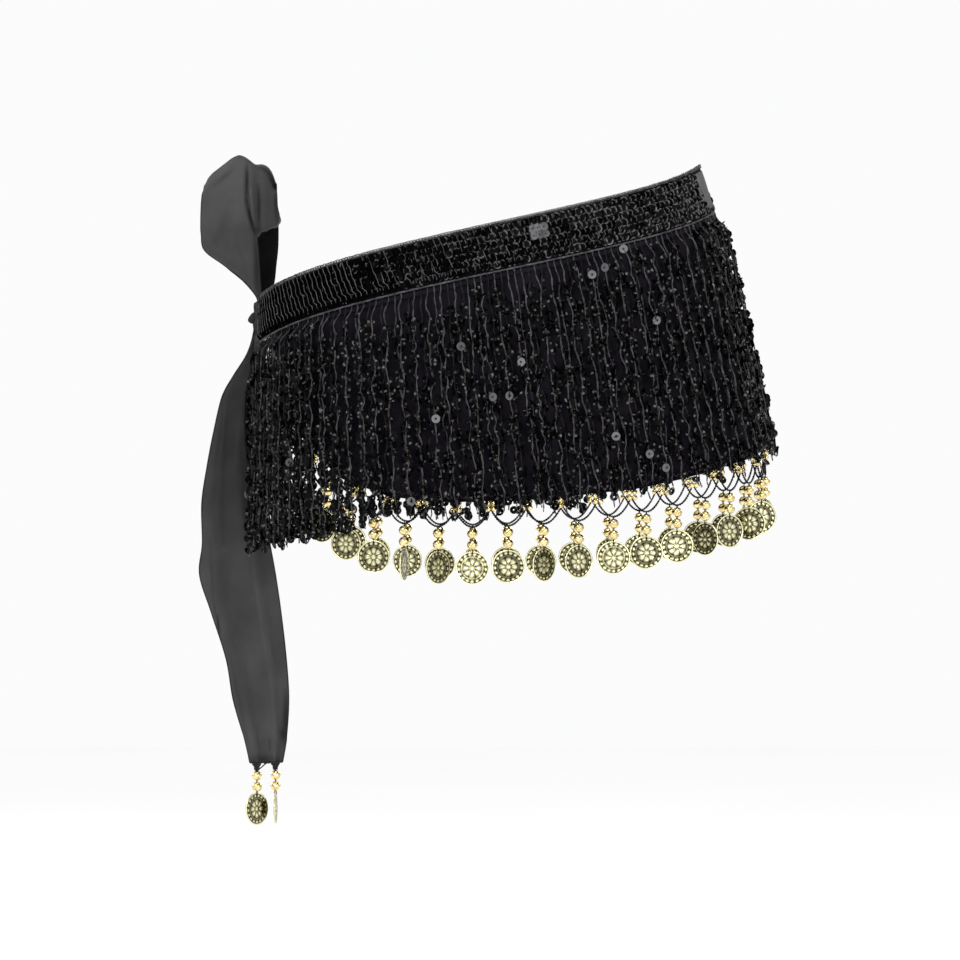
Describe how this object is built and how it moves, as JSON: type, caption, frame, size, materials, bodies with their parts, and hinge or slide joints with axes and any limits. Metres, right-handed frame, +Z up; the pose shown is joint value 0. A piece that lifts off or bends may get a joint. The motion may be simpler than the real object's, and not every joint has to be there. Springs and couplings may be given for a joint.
{
  "type": "belly dance hip scarf",
  "caption": "Black hip scarf for belly dance: chiffon panel, sequinned band, sequin fringe, a garland of beads and swinging gold coins, tied at one side in a half bow.",
  "frame": {"origin": "middle of the waist opening, level with the band's top edge at the centre front, where the hips of a wearer hold the scarf", "axes": "+Z up; the front faces -Y; the knot is at -X, on the wearer's right hip"},
  "size_m": [0.407, 0.2697, 0.4702],
  "materials": {
    "chiffon": "sheer black chiffon",
    "sequins": "glossy black sequins",
    "thread": "black crochet thread",
    "gold": "pale gilt metal"
  },
  "bodies": {
    "scarf": {"chiffon_panel": "chiffon", "sequin_band": "sequins", "upper_braid": "thread", "lower_braid": "thread", "sequin_fringe": "sequins", "bead_garland": "thread", "tie_knot": "chiffon", "bow_loop": "chiffon", "front_tie_end": "chiffon", "rear_tie_end": "chiffon"},
    "coin_drop_01_body": {"coin_drop_01": "gold"},
    "coin_drop_02_body": {"coin_drop_02": "gold"},
    "coin_drop_03_body": {"coin_drop_03": "gold"},
    "coin_drop_04_body": {"coin_drop_04": "gold"},
    "coin_drop_05_body": {"coin_drop_05": "gold"},
    "coin_drop_06_body": {"coin_drop_06": "gold"},
    "coin_drop_07_body": {"coin_drop_07": "gold"},
    "coin_drop_08_body": {"coin_drop_08": "gold"},
    "coin_drop_09_body": {"coin_drop_09": "gold"},
    "coin_drop_10_body": {"coin_drop_10": "gold"},
    "coin_drop_11_body": {"coin_drop_11": "gold"},
    "coin_drop_12_body": {"coin_drop_12": "gold"},
    "coin_drop_13_body": {"coin_drop_13": "gold"},
    "coin_drop_14_body": {"coin_drop_14": "gold"},
    "coin_drop_15_body": {"coin_drop_15": "gold"},
    "coin_drop_16_body": {"coin_drop_16": "gold"},
    "coin_drop_17_body": {"coin_drop_17": "gold"},
    "coin_drop_18_body": {"coin_drop_18": "gold"},
    "coin_drop_19_body": {"coin_drop_19": "gold"},
    "coin_drop_20_body": {"coin_drop_20": "gold"},
    "coin_drop_21_body": {"coin_drop_21": "gold"},
    "coin_drop_22_body": {"coin_drop_22": "gold"},
    "coin_drop_23_body": {"coin_drop_23": "gold"},
    "coin_drop_24_body": {"coin_drop_24": "gold"},
    "coin_drop_25_body": {"coin_drop_25": "gold"},
    "coin_drop_26_body": {"coin_drop_26": "gold"},
    "coin_drop_27_body": {"coin_drop_27": "gold"},
    "coin_drop_28_body": {"coin_drop_28": "gold"},
    "coin_drop_29_body": {"coin_drop_29": "gold"},
    "coin_drop_30_body": {"coin_drop_30": "gold"},
    "coin_drop_31_body": {"coin_drop_31": "gold"},
    "coin_drop_32_body": {"coin_drop_32": "gold"},
    "coin_drop_33_body": {"coin_drop_33": "gold"},
    "front_tie_drop_left_body": {"front_tie_drop_left": "gold"},
    "front_tie_drop_right_body": {"front_tie_drop_right": "gold"},
    "rear_tie_drop_left_body": {"rear_tie_drop_left": "gold"},
    "rear_tie_drop_right_body": {"rear_tie_drop_right": "gold"}
  },
  "joints": [
    {"name": "coin_drop_01_swing", "type": "hinge", "parent": "scarf", "child": "coin_drop_01_body", "pos_m": [-0.10854, -0.08112, -0.17707], "axis": [-0.7977, 0.603, 0], "range_deg": [-12, 3]},
    {"name": "coin_drop_02_swing", "type": "hinge", "parent": "scarf", "child": "coin_drop_02_body", "pos_m": [-0.0921, -0.09298, -0.18929], "axis": [-0.8636, 0.5041, 0], "range_deg": [-12, 3]},
    {"name": "coin_drop_03_swing", "type": "hinge", "parent": "scarf", "child": "coin_drop_03_body", "pos_m": [-0.07294, -0.1034, -0.19828], "axis": [-0.9153, 0.4028, 0], "range_deg": [-12, 3]},
    {"name": "coin_drop_04_swing", "type": "hinge", "parent": "scarf", "child": "coin_drop_04_body", "pos_m": [-0.05198, -0.11189, -0.20318], "axis": [-0.9528, 0.3034, 0], "range_deg": [-12, 3]},
    {"name": "coin_drop_05_swing", "type": "hinge", "parent": "scarf", "child": "coin_drop_05_body", "pos_m": [-0.02873, -0.11844, -0.20528], "axis": [-0.9793, 0.2023, 0], "range_deg": [-12, 30]},
    {"name": "coin_drop_06_swing", "type": "hinge", "parent": "scarf", "child": "coin_drop_06_body", "pos_m": [-0.00523, -0.12245, -0.20562], "axis": [-0.9944, 0.1058, 0], "range_deg": [-12, 30]},
    {"name": "coin_drop_07_swing", "type": "hinge", "parent": "scarf", "child": "coin_drop_07_body", "pos_m": [0.01924, -0.12416, -0.20474], "axis": [-1, 0.0084, 0], "range_deg": [-12, 30]},
    {"name": "coin_drop_08_swing", "type": "hinge", "parent": "scarf", "child": "coin_drop_08_body", "pos_m": [0.04355, -0.12355, -0.20343], "axis": [-0.9961, -0.0877, 0], "range_deg": [-12, 30]},
    {"name": "coin_drop_09_swing", "type": "hinge", "parent": "scarf", "child": "coin_drop_09_body", "pos_m": [0.06754, -0.12046, -0.20126], "axis": [-0.9827, -0.1854, 0], "range_deg": [-12, 30]},
    {"name": "coin_drop_10_swing", "type": "hinge", "parent": "scarf", "child": "coin_drop_10_body", "pos_m": [0.0913, -0.11493, -0.19865], "axis": [-0.9579, -0.2872, 0], "range_deg": [-12, 30]},
    {"name": "coin_drop_11_swing", "type": "hinge", "parent": "scarf", "child": "coin_drop_11_body", "pos_m": [0.11392, -0.10701, -0.19535], "axis": [-0.9198, -0.3924, 0], "range_deg": [-12, 30]},
    {"name": "coin_drop_12_swing", "type": "hinge", "parent": "scarf", "child": "coin_drop_12_body", "pos_m": [0.13526, -0.09634, -0.19092], "axis": [-0.8635, -0.5044, 0], "range_deg": [-12, 30]},
    {"name": "coin_drop_13_swing", "type": "hinge", "parent": "scarf", "child": "coin_drop_13_body", "pos_m": [0.15506, -0.08284, -0.18597], "axis": [-0.7816, -0.6238, 0], "range_deg": [-12, 30]},
    {"name": "coin_drop_14_swing", "type": "hinge", "parent": "scarf", "child": "coin_drop_14_body", "pos_m": [0.17247, -0.06644, -0.1809], "axis": [-0.6642, -0.7476, 0], "range_deg": [-12, 30]},
    {"name": "coin_drop_15_swing", "type": "hinge", "parent": "scarf", "child": "coin_drop_15_body", "pos_m": [0.18655, -0.04707, -0.17584], "axis": [-0.4989, -0.8666, 0], "range_deg": [-12, 30]},
    {"name": "coin_drop_16_swing", "type": "hinge", "parent": "scarf", "child": "coin_drop_16_body", "pos_m": [0.1961, -0.02479, -0.17146], "axis": [-0.2754, -0.9613, 0], "range_deg": [-12, 30]},
    {"name": "coin_drop_17_swing", "type": "hinge", "parent": "scarf", "child": "coin_drop_17_body", "pos_m": [0.19966, 0, -0.16954], "axis": [0, -1, 0], "range_deg": [-12, 30]},
    {"name": "coin_drop_18_swing", "type": "hinge", "parent": "scarf", "child": "coin_drop_18_body", "pos_m": [0.1961, 0.02479, -0.17146], "axis": [0.2754, -0.9613, 0], "range_deg": [-12, 30]},
    {"name": "coin_drop_19_swing", "type": "hinge", "parent": "scarf", "child": "coin_drop_19_body", "pos_m": [0.18655, 0.04707, -0.17584], "axis": [0.4989, -0.8666, 0], "range_deg": [-12, 30]},
    {"name": "coin_drop_20_swing", "type": "hinge", "parent": "scarf", "child": "coin_drop_20_body", "pos_m": [0.17247, 0.06644, -0.1809], "axis": [0.6642, -0.7476, 0], "range_deg": [-12, 30]},
    {"name": "coin_drop_21_swing", "type": "hinge", "parent": "scarf", "child": "coin_drop_21_body", "pos_m": [0.15506, 0.08284, -0.18597], "axis": [0.7816, -0.6238, 0], "range_deg": [-12, 30]},
    {"name": "coin_drop_22_swing", "type": "hinge", "parent": "scarf", "child": "coin_drop_22_body", "pos_m": [0.13526, 0.09634, -0.19092], "axis": [0.8635, -0.5044, 0], "range_deg": [-12, 30]},
    {"name": "coin_drop_23_swing", "type": "hinge", "parent": "scarf", "child": "coin_drop_23_body", "pos_m": [0.11392, 0.10701, -0.19535], "axis": [0.9198, -0.3924, 0], "range_deg": [-12, 30]},
    {"name": "coin_drop_24_swing", "type": "hinge", "parent": "scarf", "child": "coin_drop_24_body", "pos_m": [0.0913, 0.11493, -0.19865], "axis": [0.9579, -0.2872, 0], "range_deg": [-12, 30]},
    {"name": "coin_drop_25_swing", "type": "hinge", "parent": "scarf", "child": "coin_drop_25_body", "pos_m": [0.06754, 0.12046, -0.20126], "axis": [0.9827, -0.1854, 0], "range_deg": [-12, 30]},
    {"name": "coin_drop_26_swing", "type": "hinge", "parent": "scarf", "child": "coin_drop_26_body", "pos_m": [0.04355, 0.12355, -0.20343], "axis": [0.9961, -0.0877, 0], "range_deg": [-12, 30]},
    {"name": "coin_drop_27_swing", "type": "hinge", "parent": "scarf", "child": "coin_drop_27_body", "pos_m": [0.01924, 0.12416, -0.20474], "axis": [1, 0.0084, 0], "range_deg": [-12, 30]},
    {"name": "coin_drop_28_swing", "type": "hinge", "parent": "scarf", "child": "coin_drop_28_body", "pos_m": [-0.00523, 0.12245, -0.20562], "axis": [0.9944, 0.1058, 0], "range_deg": [-12, 30]},
    {"name": "coin_drop_29_swing", "type": "hinge", "parent": "scarf", "child": "coin_drop_29_body", "pos_m": [-0.02873, 0.11844, -0.20528], "axis": [0.9793, 0.2023, 0], "range_deg": [-12, 30]},
    {"name": "coin_drop_30_swing", "type": "hinge", "parent": "scarf", "child": "coin_drop_30_body", "pos_m": [-0.05198, 0.11189, -0.20318], "axis": [0.9528, 0.3034, 0], "range_deg": [-12, 3]},
    {"name": "coin_drop_31_swing", "type": "hinge", "parent": "scarf", "child": "coin_drop_31_body", "pos_m": [-0.07294, 0.1034, -0.19828], "axis": [0.9153, 0.4028, 0], "range_deg": [-12, 3]},
    {"name": "coin_drop_32_swing", "type": "hinge", "parent": "scarf", "child": "coin_drop_32_body", "pos_m": [-0.0921, 0.09298, -0.18929], "axis": [0.8636, 0.5041, 0], "range_deg": [-12, 3]},
    {"name": "coin_drop_33_swing", "type": "hinge", "parent": "scarf", "child": "coin_drop_33_body", "pos_m": [-0.10854, 0.08112, -0.17707], "axis": [0.7977, 0.603, 0], "range_deg": [-12, 3]},
    {"name": "front_tie_drop_left_swing", "type": "hinge", "parent": "scarf", "child": "front_tie_drop_left_body", "pos_m": [-0.15659, 0.01272, -0.37125], "axis": [-0.815, -0.5795, 0], "range_deg": [-25, 25]},
    {"name": "front_tie_drop_right_swing", "type": "hinge", "parent": "scarf", "child": "front_tie_drop_right_body", "pos_m": [-0.14391, 0.02728, -0.37125], "axis": [-0.815, -0.5795, 0], "range_deg": [-25, 25]},
    {"name": "rear_tie_drop_left_swing", "type": "hinge", "parent": "scarf", "child": "rear_tie_drop_left_body", "pos_m": [-0.17699, 0.04245, -0.23925], "axis": [-0.7037, -0.7105, 0], "range_deg": [-25, 4]},
    {"name": "rear_tie_drop_right_swing", "type": "hinge", "parent": "scarf", "child": "rear_tie_drop_right_body", "pos_m": [-0.15861, 0.06112, -0.23925], "axis": [-0.7037, -0.7105, 0], "range_deg": [-25, 4]}
  ]
}
